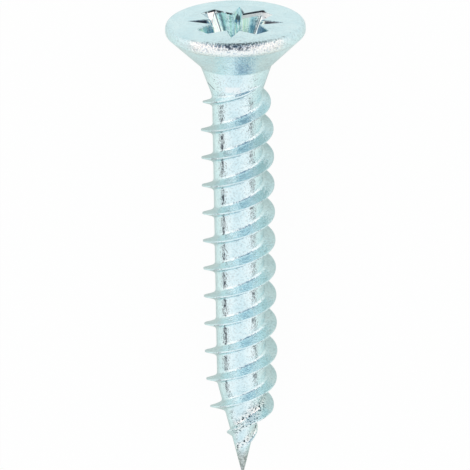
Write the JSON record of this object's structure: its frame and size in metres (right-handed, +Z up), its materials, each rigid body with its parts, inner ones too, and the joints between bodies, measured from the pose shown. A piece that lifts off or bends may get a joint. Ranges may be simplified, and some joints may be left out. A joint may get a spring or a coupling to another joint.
{
  "type": "countersunk wood screw",
  "caption": "Countersunk steel wood screw with a twin-start thread, a sharp point and a cross recess, in bright zinc plate.",
  "frame": {"origin": "on the floor, under the middle of the lying screw's bounding box", "axes": "+Z up, +Y towards the head; the screw lies at rest on the rim of its head and on the thread near its point, so its own axis slopes up to the head by 5.4 degrees, with the side that faces the camera in the picture on top"},
  "size_m": [0.0092, 0.032, 0.0093],
  "materials": {
    "bright_zinc": "bright zinc plate with a faint blue cast, fine pits and rolling marks"
  },
  "bodies": {
    "root": {"wood_screw": "bright_zinc"}
  },
  "joints": []
}
